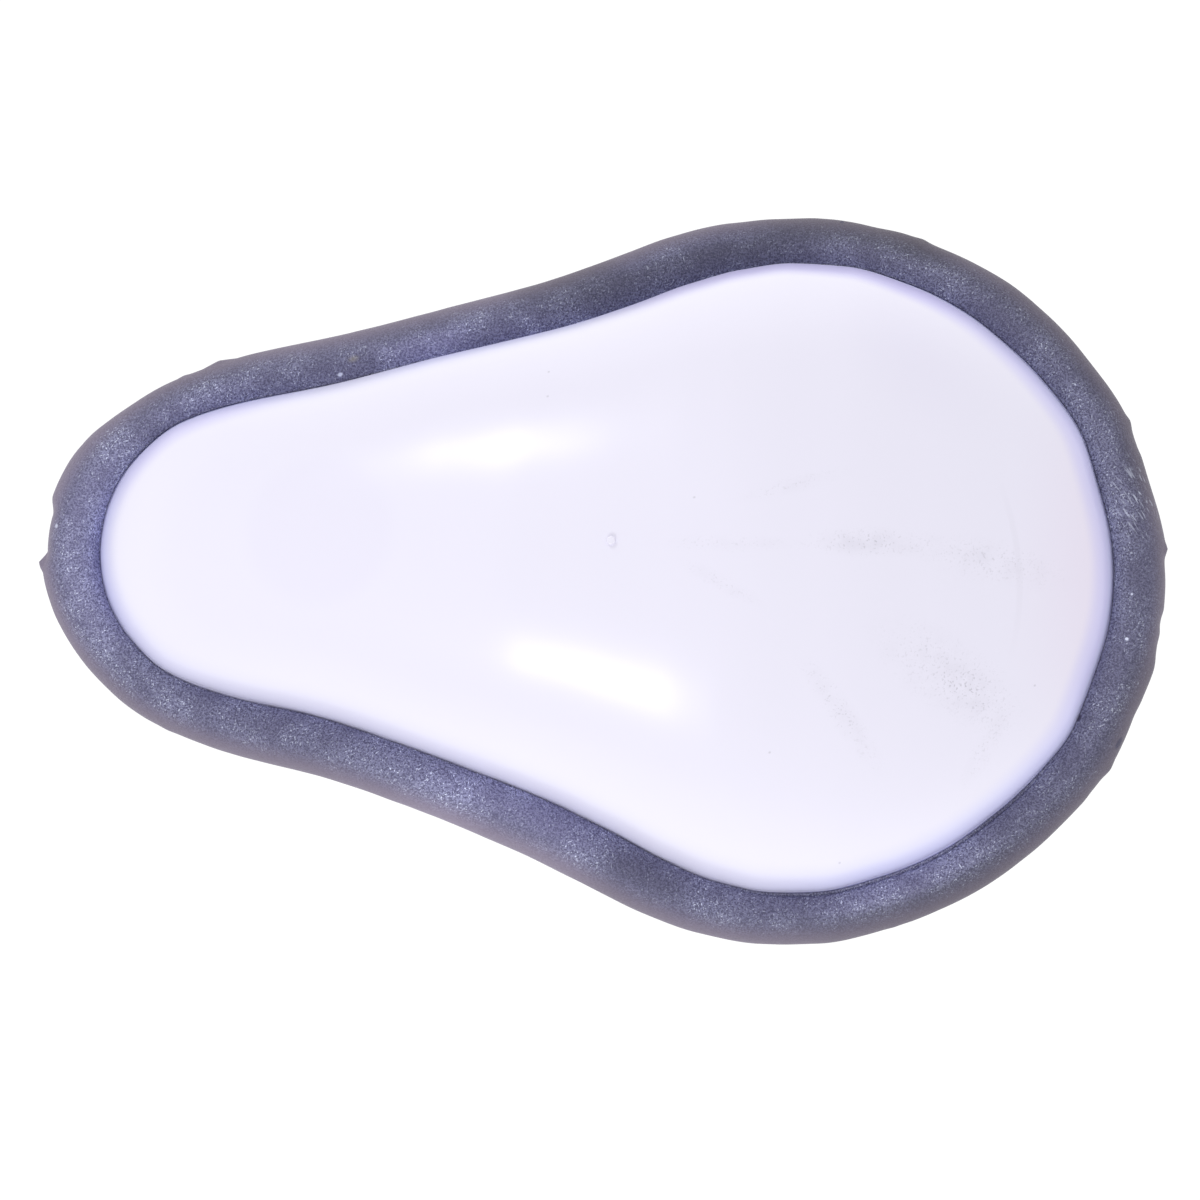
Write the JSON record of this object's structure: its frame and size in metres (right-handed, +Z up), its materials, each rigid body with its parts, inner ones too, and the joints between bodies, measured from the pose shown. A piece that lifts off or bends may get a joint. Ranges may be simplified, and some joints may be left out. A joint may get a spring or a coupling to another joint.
{
  "type": "abdominal guard",
  "caption": "Hollow pear-shaped hard shell with a soft roll round its wavy rim, open underneath, that guards the lower abdomen in sport.",
  "frame": {"origin": "middle of the bounding box's underside, on the surface that the guard rests on with its hollow down", "axes": "+X from the narrow end to the wide end, +Y to one side, +Z up through the crown"},
  "size_m": [0.16, 0.1038, 0.0481],
  "materials": {
    "shell": "glossy white plastic with a faint lavender cast and light scuffs",
    "edge_bead": "dark blue-grey soft moulding with a fine grained skin"
  },
  "bodies": {
    "root": {"shell": "shell", "edge_bead": "edge_bead"}
  },
  "joints": []
}
